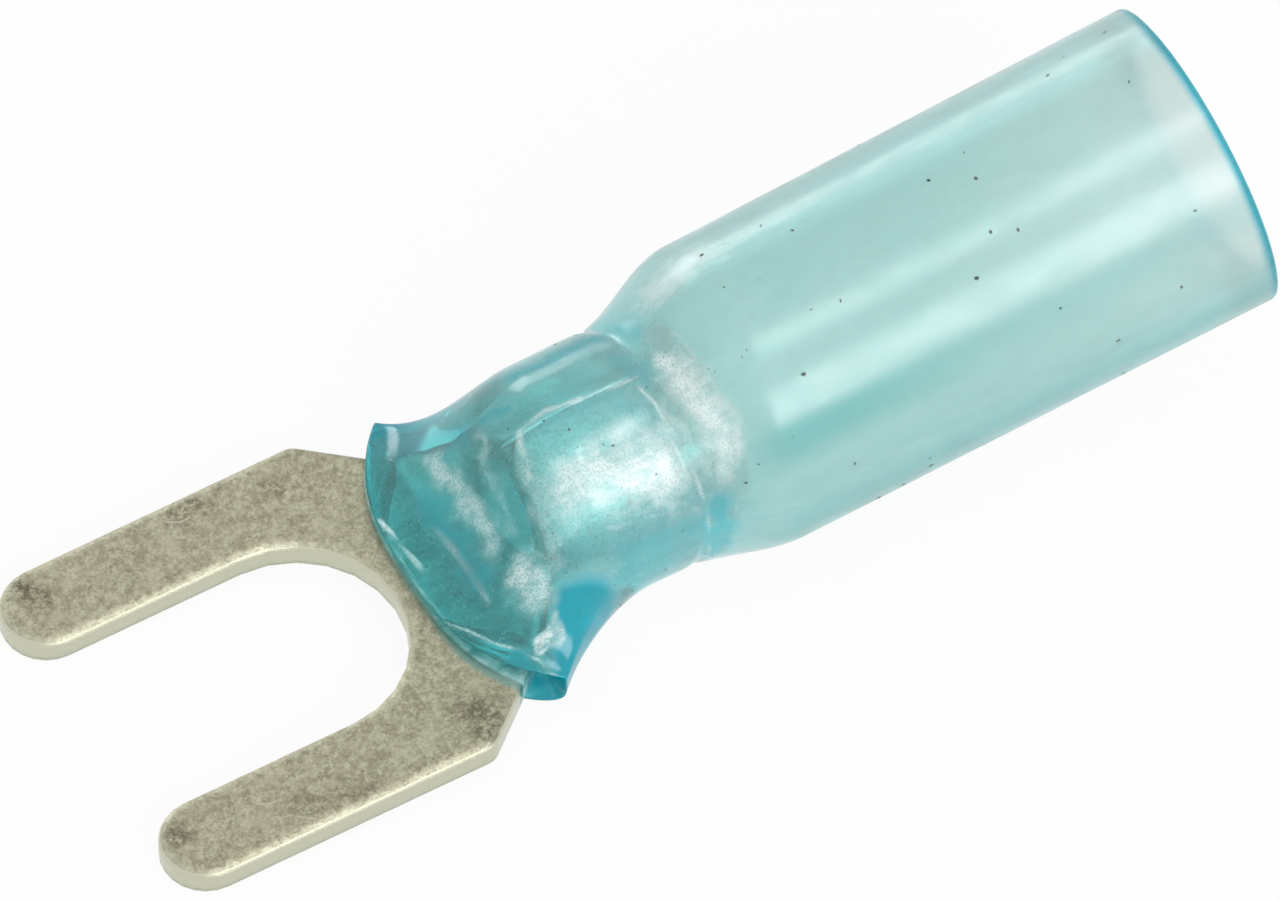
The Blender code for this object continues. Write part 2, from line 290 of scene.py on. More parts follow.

# Colours of the tin: open, its edges (wear and painted highlight), and under the sleeve
TIN_SPECKLE = (
    (0.35, (0.23, 0.217, 0.155)),
    (0.48, (0.345, 0.331, 0.234)),
    (0.61, (0.48, 0.468, 0.352)),
)
TIN_PALE = (0.46, 0.445, 0.33)
TIN_DARK = (0.23, 0.215, 0.15)
TIN_SMUDGE = (0.085, 0.075, 0.05)
# Lighter rounded edges: wear and painted highlight
TIN_WEAR_AND_HIGHLIGHT = (0.62, 0.61, 0.50)
# Side faces and rounded edges of the open tin: painted highlight
TIN_EDGE_HIGHLIGHT = (0.57, 0.58, 0.45)
TIN_SCRATCH = (0.60, 0.58, 0.47)
TIN_FILM = (0.20, 0.40, 0.36)
TIN_WETTED = (
    (0.34, (0.30, 0.62, 0.60)),
    (0.52, (0.50, 0.78, 0.75)),
    (0.70, (0.80, 0.93, 0.90)),
)
TIN_GRIPPED = (
    (0.30, (0.46, 0.60, 0.57)),
    (0.44, (0.84, 0.89, 0.86)),
    (0.70, (0.98, 0.99, 0.97)),
)
# Painted shade: the barrel's upper back flank, darker
TIN_BACK_FLANK_SHADE = (0.38, 0.62, 0.60)
TUMBLED_EDGE = 0.34 * MM
RELIEF_DEPTH = 0.012
RELIEF_STRENGTH = 0.5

# Lining and grime
LINING_SHADES = ((0.3, (0.80, 0.90, 0.90)), (0.6, (0.98, 0.99, 0.98)))
GRIME_SHADES = ((0.35, (0.035, 0.06, 0.065)), (0.7, (0.22, 0.25, 0.22)))
GRAIN_SMALLEST = (0.4, 0.4, 0.25)
GRAIN_LARGEST = (1.7, 1.3, 0.7)

# Grime specks: first and last station, grains per square metre, grain radius and seed
SPECKS = {
    "tube_specks": (CONE_END, TUBE_END - 0.5 * MM, 0.16e6, 0.046 * MM, 4),
    "neck_specks": (5.0 * MM, CONE_END, 0.5e6, 0.030 * MM, 9),
}

# Table and studio
FLOOR_HALF = 1.5
FLOOR_GREY = 0.88
FLOOR_ROUGHNESS = 0.9
FLOOR_GLOW = 0.93
STUDIO_LEVEL = 0.60
STUDIO_SEEN = 1.0

# Softboxes: azimuth and elevation in degrees, width and height in metres, radiance
SOFTBOXES = {
    "front_window": (-88.0, 36.0, 0.42, 0.30, 4.4),
    "back_window": (90.0, 9.0, 0.34, 0.16, 4.0),
    "top_card": (-62.0, 79.0, 0.30, 0.14, 3.6),
}
SOFTBOX_DISTANCE = 0.45
# Share of a softbox's half-width over which its light fades
SOFTBOX_FADE = 0.6

# View of the photo, taken as 1280 by 900
PHOTO_WIDTH = 1280.0
PHOTO_HEIGHT = 900.0
PIXELS_PER_M = 42970.0
ORIGIN_PIXEL = (296.1, 657.7)
VIEW_ELEVATION = math.radians(55.61)
VIEW_TURN = math.radians(29.57)
VIEW_ROLL = math.radians(0.13)
CAMERA_DISTANCE = 0.30
CLIP_START = 0.01
CLIP_END = 5.0


def blend(start, end, x):
    """Smooth step: 0 up to start, 1 from end on."""
    t = min(max((x - start) / (end - start), 0.0), 1.0)
    return t * t * (3.0 - 2.0 * t)


def mix(a, b, share):
    """Value that lies the given share of the way from a to b."""
    return a + (b - a) * share


def resting_place(record):
    """Matrix from the fork's frame to the table's, read from the seat on a prong's upper face."""
    seat = next(m for m in record["mounts"] if m["name"] == "stud_seat_top")
    up = Vector(seat["axis"]).normalized()
    across = Vector((0.0, 1.0, 0.0))
    along = across.cross(up)
    origin = Vector(seat["pos_m"]) - across * PRONG_MIDDLE - up * SHEET
    turn = Matrix((along, across, up)).transposed()
    return Matrix.Translation(origin) @ turn.to_4x4()


PLACE = resting_place(frame["record"])


def skin_over(mesh, rings, ends=True):
    """Close the sides between rings of vertices, and the first and last ring; normals outward."""
    for ring, following in zip(rings, rings[1:]):
        for side in range(len(ring)):
            after = (side + 1) % len(ring)
            mesh.faces.new((ring[side], ring[after], following[after], following[side]))
    if ends:
        mesh.faces.new(rings[0])
        mesh.faces.new(rings[-1])
    bmesh.ops.recalc_face_normals(mesh, faces=mesh.faces)
    return mesh


def stored(name, mesh):
    """Mesh data made from a mesh under construction."""
    data = bpy.data.meshes.new(name)
    mesh.to_mesh(data)
    mesh.free()
    return data


def put_in_scene(name, data):
    """Object that shows the data, in the scene."""
    thing = bpy.data.objects.new(name, data)
    bpy.context.scene.collection.objects.link(thing)
    return thing


def finish_piece(name, mesh, material, paint=None):
    """Object of a finished shape, turned to the table, riding on the part."""
    data = stored(name, mesh)
    if paint:
        paint(data)
    data.transform(PLACE)
    data.materials.append(material)
    data.shade_smooth()
    piece = put_in_scene(name, data)
    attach(piece, "root")
    return piece


def lip_share(x):
    """How much of the pressed lip's form is left at a station: 1 at its edge, 0 at the grip."""
    return min(max((GRIP_START - x) / (GRIP_START - LIP_FRONT), 0.0), 1.0)


def tube_radius(x):
    """Outside radius of the open tube."""
    share = max(x - CONE_END, 0.0) / (TUBE_END - CONE_END)
    return mix(TUBE_START_RADIUS, TUBE_MOUTH_RADIUS, share)


def tube_rise(x):
    """Height of the tube's axis."""
    return TUBE_START_RISE + TUBE_SLOPE * (x - CONE_END)


def outside(x):
    """Half-width, side height, top, bottom and the two squarenesses of the sleeve's outside."""
    share = lip_share(x)
    if x <= CONE_START:
        half_width = mix(GRIP_RADIUS, LIP_WIDTH / 2, share ** FLARE_POWER)
        settle = blend(LIP_FRONT, GRIP_START, x)
        side = mix(LIP_CORNER_RISE, GRIP_AXIS, settle)
        top = mix(LIP_TOP, GRIP_AXIS + GRIP_RADIUS, blend(LIP_FRONT, CROWN_START, x))
        bottom = mix(LIP_UNDER, GRIP_AXIS - GRIP_RADIUS, settle)
    else:
        spread = blend(CONE_START, CONE_END, x)
        half_width = mix(GRIP_RADIUS, tube_radius(x), spread)
        side = mix(GRIP_AXIS, tube_rise(max(x, CONE_END)), spread)
        top = side + half_width
        bottom = side - half_width
    upper_squareness = mix(2.0, LIP_TOP_SQUARENESS, share ** 2)
    lower_squareness = mix(2.0, LIP_UNDER_SQUARENESS, share ** 2)
    return half_width, side, top, bottom, upper_squareness, lower_squareness


def inside(x):
    """The same values for the inside: the tube's bore, then a tight fit inside the barrel's wall."""
    spread = blend(WET_END, CONE_END, x)
    half_width = mix(BARREL_RADIUS, tube_radius(x) - TUBE_WALL, spread)
    side = mix(BARREL_RADIUS, tube_rise(max(x, CONE_END)), spread)
    if x < WET_END:
        half_width = mix(WET_RADIUS, BARREL_RADIUS, blend(WET_END - WET_STEP, WET_END, x))
    return half_width, side, side + half_width, side - half_width, 2.0, 2.0


def on_skin(point):
    """Whether a place lies on the sleeve's outside rather than in its bore."""
    if point.x < PLUG_START:
        return True
    outer, inner = outside(point.x), inside(point.x)
    return math.hypot(point.y, point.z - outer[1]) > (outer[0] + inner[0]) / 2


def wrinkle(point):
    """Height of the shrunk skin over its even form: soft folds, and the crease at the barrel's end."""
    x, y, z = point
    neck = blend(LIP_FRONT, LIP_FRONT + NECK_FADE_IN, x) * (1.0 - blend(*NECK_FADE_OUT, x))
    grip = blend(*GRIP_FADE_IN, x) * (1.0 - blend(CREASE, CONE_END, x))
    lengthwise, crosswise = NECK_FOLD_RATES
    neck_fold = noise.noise(Vector((x * lengthwise, y * crosswise, 1.7)))
    grip_fold = noise.noise(point * GRIP_FOLD_RATE)
    lengthwise, crosswise = TUBE_FOLD_RATES
    tube_fold = noise.noise(Vector((x * lengthwise, y * crosswise, z * crosswise)))
    height = NECK_WRINKLE * neck * neck_fold + GRIP_WRINKLE * grip * grip_fold
    height += TUBE_WRINKLE * tube_fold
    middle = CREASE + CREASE_SWAY * math.sin(y / MM * 1.3 + 0.6)
    return height - CREASE_DEPTH * math.exp(-((x - middle) / CREASE_WIDTH) ** 2)


def ring_points(x, section, inset=0.0, shrunk=False):
    """Points of one closed ring of the sleeve, bowed at the lip and leaning at the mouth."""
    half_width, side, top, bottom, upper_squareness, lower_squareness = section
    pressed = lip_share(x) if half_width > BARREL_RADIUS * BORE_MARGIN else 0.0
    lean = MOUTH_SLOPE * max(x - CONE_END, 0.0) / (TUBE_END - CONE_END)
    points = []
    for step in range(SIDES):
        angle = 2 * math.pi * (step + 0.5) / SIDES
        upper = math.sin(angle) > 0.0
        power = 2 / (upper_squareness if upper else lower_squareness)
        share = math.copysign(abs(math.cos(angle)) ** power, math.cos(angle))
        reach = top - side - inset if upper else bottom - side + inset
        height = reach * abs(math.sin(angle)) ** power
        low = pressed * max(-share, 0.0) ** 3
        bow = LIP_CORNER_SETBACK * pressed * abs(share) ** 3 + LOW_CORNER_SETBACK * low
        width = (half_width - inset) * share + LOW_CORNER_TUCK * low
        point = Vector((x + bow - lean * height, width, side + height))
        if shrunk:
            away = Vector((0.0, point.y, height)).normalized()
            point += away * wrinkle(point)
        points.append(point)
    return points


def sleeve_mesh():
    """The sleeve as one closed skin: lip, outside, mouth, bore and the plug in front of the barrel."""
    mesh = bmesh.new()
    rings = []

    def add(x, section, inset=0.0, shrunk=False):
        rings.append([mesh.verts.new(p) for p in ring_points(x, section, inset, shrunk)])

    front = outside(LIP_FRONT)
    half_width, side, top, bottom, *squareness = front
    for share in LIP_FACE_SHARES:
        heights = [mix(SHEET / 2, height, share) for height in (side, top, bottom)]
        add(LIP_FRONT, (half_width * share, *heights, *squareness))
    add(LIP_FRONT, front, EDGE_ROUND)
    add(LIP_FRONT + EDGE_TURN, front, EDGE_TURN)
    for step in range(SHRUNK_RINGS):
        x = mix(LIP_FRONT + EDGE_ROUND, CONE_END, step / SHRUNK_RINGS)
        add(x, outside(x), shrunk=True)
    for step in range(TUBE_RINGS + 1):
        x = mix(CONE_END, TUBE_END - EDGE_ROUND, step / TUBE_RINGS)
        add(x, outside(x), shrunk=True)
    mouth, bore = outside(TUBE_END), inside(TUBE_END)
    add(TUBE_END - EDGE_TURN, mouth, EDGE_TURN)
    add(TUBE_END, mouth, EDGE_ROUND)
    add(TUBE_END, bore, -EDGE_ROUND)
    add(TUBE_END - EDGE_TURN, bore, -EDGE_TURN)
    for step in range(INNER_RINGS + 1):
        x = mix(TUBE_END - EDGE_ROUND, PLUG_START, step / INNER_RINGS)
        add(x, inside(x))
    half_width, side, top, bottom, *squareness = inside(PLUG_START)
    for share in PLUG_SHARES:
        heights = [mix(side, height, share) for height in (side, top, bottom)]
        add(PLUG_START + PLUG_DISH * (1 - share ** 2), (half_width * share, *heights, *squareness))
    return skin_over(mesh, rings)


def streak_share(x, y, strength, width, fuzz, *points):
    """How strong a streak through some points of the plan is at each place."""
    nearest = np.full(len(x), np.inf)
    for start, end in zip(points, points[1:]):
        way = np.subtract(end, start)
        run = ((x - start[0]) * way[0] + (y - start[1]) * way[1]) / way.dot(way)
        run = np.clip(run, 0.0, 1.0)
        off = np.hypot(x - start[0] - run * way[0], y - start[1] - run * way[1])
        nearest = np.minimum(nearest, off)
    t = np.clip((nearest - width * (1.0 - fuzz)) / (width * fuzz), 0.0, 1.0)
    return strength * (1.0 - t * t * (3.0 - 2.0 * t))


def paint_skin(data):
    """Write the sleeve's marks into its mesh: air and painted highlights, also on folds, deep blue,
    grey.
    """
    places = np.array([v.co for v in data.vertices]) / MM
    x, y, z = places.T
    broad, fine = WANDER_SIZES
    shifts = [Vector(shift) for shift in WANDER_SHIFTS]

    def push(place, shift):
        return noise.noise(place / broad + shift) + 0.5 * noise.noise(place / fine + shift)

    wander = np.array([[push(p, shift) for shift in shifts] for p in map(Vector, places)])
    feather = np.array([noise.noise(Vector(p / FEATHER_SIZE)) for p in places])
    soft = np.array([noise.noise(Vector(p) / SOFT_SIZE) for p in places])

    def strongest(patches, reach):
        pushed = x + reach * wander[:, 0], y + reach * wander[:, 1]
        return np.max([streak_share(*pushed, *patch) for patch in patches], axis=0)

    # White patches: air under the skin, and painted highlights on the barrel and the cone.
    air_and_highlight = strongest(AIR_AND_HIGHLIGHT_PATCHES, AIR_AND_HIGHLIGHT_WANDER) * np.clip(0.85 + 0.45 * feather + 0.5 * soft, 0.2, 1.0)
    # Bright lines on folds and the lip's cut edge: partly air, partly painted highlight.
    fold_air_and_highlights = strongest(FOLD_AIR_AND_HIGHLIGHT_LINES, LINE_WANDER) * np.clip(0.8 + 0.9 * soft, 0.25, 1.0)
    skin = np.array([on_skin(Vector(p) * MM) for p in places])
    skin = skin * np.clip((z - SHEET / MM) / MARKS_FADE, 0.0, 1.0)
    colours = np.ones((len(places), 4))
    colours[:, 0] = np.maximum(air_and_highlight, fold_air_and_highlights) * skin
    colours[:, 1] = strongest(DEEP_PATCHES, DEEP_WANDER) * skin
    colours[:, 2] = strongest(GREY_PATCHES, GREY_WANDER) * skin
    marks = data.attributes.new(SKIN_MARKS, "FLOAT_COLOR", "POINT")
    marks.data.foreach_set("color", colours.astype(np.float32).ravel())


def seam_lining_mesh():
    """Squeezed-up lining that fills the barrel's butt seam: a thin round bead of uneven width."""
    mesh = bmesh.new()
    rings = []
    sine, cosine = math.sin(SEAM_TURN), math.cos(SEAM_TURN)
    out = Vector((0.0, sine, cosine))
    aside = Vector((0.0, cosine, -sine))
    lift = BARREL_RADIUS - SEAM_BEAD * SEAM_SUNK
    turns = [2 * math.pi * side / SEAM_SIDES for side in range(SEAM_SIDES)]
    for step in range(SEAM_STEPS + 1):
        share = step / SEAM_STEPS
        x = mix(BARREL_START + SEAM_FRONT_GAP, BARREL_END - SEAM_BACK_GAP, share)
        radius = SEAM_BEAD * (0.8 + 0.25 * math.sin(share * 23.0) * math.cos(share * 9.0))
        radius *= math.sqrt(max(1.0 - (2 * share - 1) ** 8, 0.05))
        middle = Vector((x, sine * lift, BARREL_RADIUS + cosine * lift))
        ring = [middle + (aside * math.cos(t) + out * math.sin(t)) * radius for t in turns]
        rings.append([mesh.verts.new(p) for p in ring])
    return skin_over(mesh, rings)


class Finish:
    """One procedural material, with short-hands that wire its nodes.

    along, across and up are places in the fork's frame, in millimetres.
    """

    def __init__(self, name):
        self.material = bpy.data.materials.new(name)
        self.material.use_nodes = True
        self.nodes = self.material.node_tree.nodes
        self.links = self.material.node_tree.links
        self.shader = self.nodes["Principled BSDF"]
        self.output = self.nodes["Material Output"]
        self.coordinates = self.nodes.new("ShaderNodeTexCoord")
        axes = []
        for row in PLACE.inverted():
            towards = self.vector("DOT_PRODUCT", self.coordinates.outputs["Object"], tuple(row[:3]))
            axes.append(self.value("MULTIPLY_ADD", towards, 1.0 / MM, row[3] / MM))
        self.along, self.across, self.up = axes[:3]
        gather = self.nodes.new("ShaderNodeCombineXYZ")
        for axis, socket in zip(axes, gather.inputs):
            self.links.new(axis, socket)
        self.here = gather.outputs["Vector"]

    def join(self, source, socket):
        """Wire a socket to a source, or write a plain value into it."""
        if isinstance(source, bpy.types.NodeSocket):
            self.links.new(source, socket)
        else:
            socket.default_value = source

    def feed(self, source, name):
        """Wire one of the shader's own sockets, or write a plain value into it."""
        self.join(source, self.shader.inputs[name])

    def value(self, operation, *sources):
        """Result of one sum."""
        node = self.nodes.new("ShaderNodeMath")
        node.operation = operation
        for source, socket in zip(sources, node.inputs):
            self.join(source, socket)
        return node.outputs[0]

    def times(self, product, *factors):
        """Product of several values."""
        for factor in factors:
            product = self.value("MULTIPLY", product, factor)
        return product

    def either(self, largest, *others):
        """Largest of several shares."""
        for other in others:
            largest = self.value("MAXIMUM", largest, other)
        return largest

    def vector(self, operation, *sources):
        """Result of one sum with places."""
        node = self.nodes.new("ShaderNodeVectorMath")
        node.operation = operation
        for source, socket in zip(sources, node.inputs):
            self.join(source, socket)
        return node.outputs["Value" if operation in ("DOT_PRODUCT", "LENGTH") else "Vector"]

    def rise(self, value, low, high, start=0.0, end=1.0):
        """Smooth rise from start to end while the value goes from low to high."""
        node = self.nodes.new("ShaderNodeMapRange")
        node.interpolation_type = "SMOOTHSTEP"
        given = {"Value": value, "From Min": low, "From Max": high, "To Min": start, "To Max": end}
        for name, source in given.items():
            self.join(source, node.inputs[name])
        return node.outputs["Result"]

    def noise(self, size, detail=2.0, roughness=0.5, stretch=(1.0, 1.0, 1.0), colour=False):
        """Noise whose blobs are about the given size in millimetres, longer by stretch."""
        texture = self.nodes.new("ShaderNodeTexNoise")
        texture.inputs["Scale"].default_value = 1.0
        texture.inputs["Detail"].default_value = detail
        texture.inputs["Roughness"].default_value = roughness
        scale = tuple(1.0 / (size * length) for length in stretch)
        self.links.new(self.vector("MULTIPLY", self.here, scale), texture.inputs["Vector"])
        return texture.outputs["Color" if colour else "Fac"]

    def ramp(self, value, *stops):
        """Colour ramp over a value; each stop is a place and a colour."""
        node = self.nodes.new("ShaderNodeValToRGB")
        self.links.new(value, node.inputs["Fac"])
        while len(node.color_ramp.elements) < len(stops):
            node.color_ramp.elements.new(0.5)
        for element, (place, colour) in zip(node.color_ramp.elements, stops):
            element.position = place
            element.color = (*colour, 1.0)
        return node.outputs["Color"]

    def tint(self, share, under, over):
        """Colour that goes from under to over with the share."""
        node = self.nodes.new("ShaderNodeMix")
        node.data_type = "RGBA"
        sockets = node.inputs[0], node.inputs[6], node.inputs[7]
        for source, socket in zip((share, under, over), sockets):
            self.join((*source, 1.0) if isinstance(source, tuple) else source, socket)
        return node.outputs[2]

    def pushed(self, push, reach):
        """Place in plan pushed about by a coloured noise, so that edges drawn over it are ragged."""
        aside = self.vector("SUBTRACT", push, (0.5, 0.5, 0.5))
        aside = self.vector("MULTIPLY", aside, (reach, reach, 0.0))
        return self.vector("MULTIPLY", self.vector("ADD", self.here, aside), (1.0, 1.0, 0.0))

    def streak(self, place, start, end, width, fuzz):
        """1 on a line between two points of the plan, falling to 0 at the width from it."""
        first = Vector((*start, 0.0))
        way = Vector((*end, 0.0)) - first
        off = self.vector("SUBTRACT", place, tuple(first))
        run = self.vector("DOT_PRODUCT", off, tuple(way / way.length_squared))
        run = self.value("MINIMUM", self.value("MAXIMUM", run, 0.0), 1.0)
        beside = self.nodes.new("ShaderNodeVectorMath")
        beside.operation = "SCALE"
        beside.inputs[0].default_value = tuple(way)
        self.links.new(run, beside.inputs["Scale"])
        distance = self.vector("LENGTH", self.vector("SUBTRACT", off, beside.outputs["Vector"]))
        return self.rise(distance, width * (1.0 - fuzz), width, 1.0, 0.0)

    def path(self, place, strength, width, fuzz, *points):
        """A streak through several points of the plan, as strong as given."""
        legs = zip(points, points[1:])
        parts = [self.streak(place, start, end, width, fuzz) for start, end in legs]
        return self.times(self.either(*parts), strength)

    def paths(self, place, marks):
        """The strongest of several streaks."""
        return self.either(*[self.path(place, *mark) for mark in marks])

    def rounded_edges(self, radius):
        """Normal of a surface whose edges are rounded off, and how near an edge is: 1 on it."""
        bevel = self.nodes.new("ShaderNodeBevel")
        bevel.samples = 6
        bevel.inputs["Radius"].default_value = radius
        ground = self.nodes.new("ShaderNodeNewGeometry")
        likeness = self.vector("DOT_PRODUCT", bevel.outputs["Normal"], ground.outputs["Normal"])
        return bevel.outputs["Normal"], self.rise(likeness, 1.0, 0.85)

    def bump(self, height, over=None):
        """Unevenness of the skin, on top of another normal where one is given."""
        node = self.nodes.new("ShaderNodeBump")
        node.inputs["Strength"].default_value = RELIEF_STRENGTH
        node.inputs["Distance"].default_value = RELIEF_DEPTH * MM
        self.links.new(height, node.inputs["Height"])
        if over:
            self.links.new(over, node.inputs["Normal"])
        self.feed(node.outputs["Normal"], "Normal")


def read_marks(finish):
    """The marks painted on the sleeve's skin: air with painted highlights, deep blue and grey."""
    marks = finish.nodes.new("ShaderNodeAttribute")
    marks.attribute_name = SKIN_MARKS
    parts = finish.nodes.new("ShaderNodeSeparateColor")
    finish.links.new(marks.outputs["Color"], parts.inputs["Color"])
    return parts.outputs["Red"], parts.outputs["Green"], parts.outputs["Blue"]


def bare_plastic(finish):
    """Where the pressed sleeve stands out past the metal: a wedge on each flank, and the corners."""
    side = finish.value("ABSOLUTE", finish.across)
    flank = finish.value("MULTIPLY_ADD", finish.along, WEDGE_SLANT, side)
    flank = finish.value("ADD", flank, finish.rise(finish.up, *UNDERSIDE))
    beside_barrel = finish.value("MULTIPLY_ADD", finish.along, WEDGE_TAPER, side)
    wedge = finish.times(finish.rise(flank, *WEDGE_FRONT), finish.rise(beside_barrel, *WEDGE_TOP),
                         finish.rise(finish.along, *WEDGE_END))
    corner = finish.times(finish.rise(side, *CORNER_SIDE), finish.rise(finish.along, *CORNER_FRONT))
    return finish.either(wedge, corner)


def shaded_band(finish):
    """Painted shade: the tube's deeper bands, one under its main highlight, one along its lower
    outline.
    """
    height = finish.value("MULTIPLY_ADD", finish.along, -TUBE_SLOPE, finish.up)
    height = finish.value("ADD", height, -TUBE_LEVEL / MM)
    low = finish.times(finish.across, -math.sin(BAND_TURN))
    low = finish.value("MULTIPLY_ADD", height, -math.cos(BAND_TURN), low)
    band = finish.times(finish.rise(low, *BAND_TOP), finish.rise(low, *BAND_FOOT),
                        finish.rise(finish.along, *BAND_FADE, BAND_REST, 1.0))
    band = finish.either(band, finish.rise(low, *OUTLINE_FADE))
    return finish.times(band, finish.rise(finish.along, *TUBE_FADE))


def sleeve_finish():
    """Clear blue polyolefin: hazy along the tube, deep and glossy where it is shrunk thick."""
    finish = Finish("clear_blue")
    along = finish.along
    air_and_highlight, deep, grey = read_marks(finish)
    bare = bare_plastic(finish)
    to_mouth = finish.value("MULTIPLY_ADD", finish.up, MOUTH_SLOPE, along)
    tint = finish.ramp(finish.times(along, RAMP_PER_MM), *LENGTH_TINTS)
    # Painted shade: greyer towards the mouth.
    tint = finish.tint(finish.rise(to_mouth, *MOUTH_FADE), tint, MOUTH_SHADE_TINT)
    tint = finish.tint(bare, tint, BARE_TINT)
    tint = finish.tint(finish.rise(to_mouth, *RIM_FADE), tint, RIM_TINT)
    tint = finish.tint(deep, tint, DEEP_TINT)
    # Painted shade: the tube's deeper bands.
    shaded = finish.vector("MULTIPLY", tint, BAND_SHADE)
    tint = finish.tint(shaded_band(finish), tint, shaded)
    tint = finish.tint(grey, tint, GREY_TINT)
    uneven = finish.noise(PLASTIC_UNEVEN, 1.0, 0.6, (2.5, 1.0, 1.0))
    grain = finish.noise(FROST_GRAIN, 1.0, 0.6)
    least = finish.rise(along, *FROST_END, 0.62, 1.0)
    air_and_highlight = finish.times(air_and_highlight, finish.rise(grain, 0.36, 0.58, least, 1.0))
    grit = finish.times(finish.rise(grain, 0.60, 0.70, 0.0, 0.42), finish.rise(along, *GRIT_END),
                        finish.rise(uneven, 0.40, 0.60))
    tint = finish.tint(grit, tint, GRIT_TINT)
    # Whitened where air lies under the skin, and painted highlights on the barrel, the cone and the
    # folds.
    tint = finish.tint(air_and_highlight, tint, AIR_AND_HIGHLIGHT_TINT)
    finish.feed(tint, "Base Color")
    clear = finish.times(finish.rise(along, *HAZE_FADE, *PLASTIC_CLEAR),
                         finish.rise(uneven, *NOISE_SPREAD, 0.97, 1.02))
    closed = finish.either(grit, finish.times(bare, BARE_CLOSES), finish.times(deep, DEEP_CLOSES),
                           finish.times(grey, GREY_CLOSES), finish.times(air_and_highlight, AIR_AND_HIGHLIGHT_CLOSES))
    finish.feed(finish.times(clear, finish.value("SUBTRACT", 1.0, closed)), "Transmission Weight")
    gloss = finish.rise(along, *GLOSS_FADE, *PLASTIC_ROUGHNESS)
    gloss = finish.times(gloss, finish.rise(uneven, *NOISE_SPREAD, 0.85, 1.15))
    finish.feed(gloss, "Roughness")
    finish.feed(PLASTIC_IOR, "IOR")
    finish.bump(uneven)
    absorption = finish.nodes.new("ShaderNodeVolumeAbsorption")
    absorption.inputs["Color"].default_value = BODY_TINT
    absorption.inputs["Density"].default_value = BODY_DENSITY
    finish.links.new(absorption.outputs["Volume"], finish.output.inputs["Volume"])
    return finish.material


def open_tin(finish, grain, mottle, patch, edge):
    """Colour of the tin in the open: speckled, smudged and scratched, edges lighter with wear and
    painted highlight.
    """
    blotch = finish.noise(TIN_BLOTCH, 3.0, 0.7, colour=True)
    blotch = finish.vector("DOT_PRODUCT", blotch, (0.5, 0.0, 0.0))
    speckle = finish.value("MULTIPLY_ADD", grain, 0.5, blotch)
    colour = finish.ramp(speckle, *TIN_SPECKLE)
    colour = finish.tint(finish.rise(patch, 0.48, 0.72, 0.0, 0.6), colour, TIN_PALE)
    colour = finish.tint(finish.rise(patch, 0.46, 0.28, 0.0, 0.5), colour, TIN_DARK)
    smudge = finish.times(finish.paths(finish.pushed(mottle, 0.8), SMUDGES),
                          finish.rise(finish.noise(SMUDGE_GRAIN, 3.0, 0.7), 0.38, 0.60))
    colour = finish.tint(smudge, colour, TIN_SMUDGE)
    rounded, near_edge = finish.rounded_edges(TUMBLED_EDGE)
    # Near the rounded edges: lighter, partly wear and partly painted highlight.
    wear_and_highlight = finish.times(near_edge, finish.rise(blotch, 0.18, 0.30, 0.45, 1.0), 0.7)
    colour = finish.tint(wear_and_highlight, colour, TIN_WEAR_AND_HIGHLIGHT)
    # Painted highlight: side faces and rounded edges lighter, by how far the surface turns from level.
    colour = finish.tint(finish.times(edge, 0.9), colour, TIN_EDGE_HIGHLIGHT)
    scratch = finish.paths(finish.pushed(mottle, 0.1), SCRATCHES)
    return finish.tint(scratch, colour, TIN_SCRATCH), rounded


def covered_tin(finish, grain, flow):
    """Colour of the tin under the sleeve: stained where the lining wets it, bright on the barrel, with
    painted shade on its upper back flank.
    """
    colour = finish.ramp(flow, *TIN_WETTED)
    bright = finish.ramp(grain, *TIN_GRIPPED)
    # Painted shade: the barrel darker towards its upper back flank.
    shaded_back_flank = finish.rise(finish.across, 0.1, 0.9, 0.0, 0.85)
    bright = finish.tint(shaded_back_flank, bright, TIN_BACK_FLANK_SHADE)
    return finish.tint(finish.rise(finish.along, 5.8, 6.5), colour, bright)


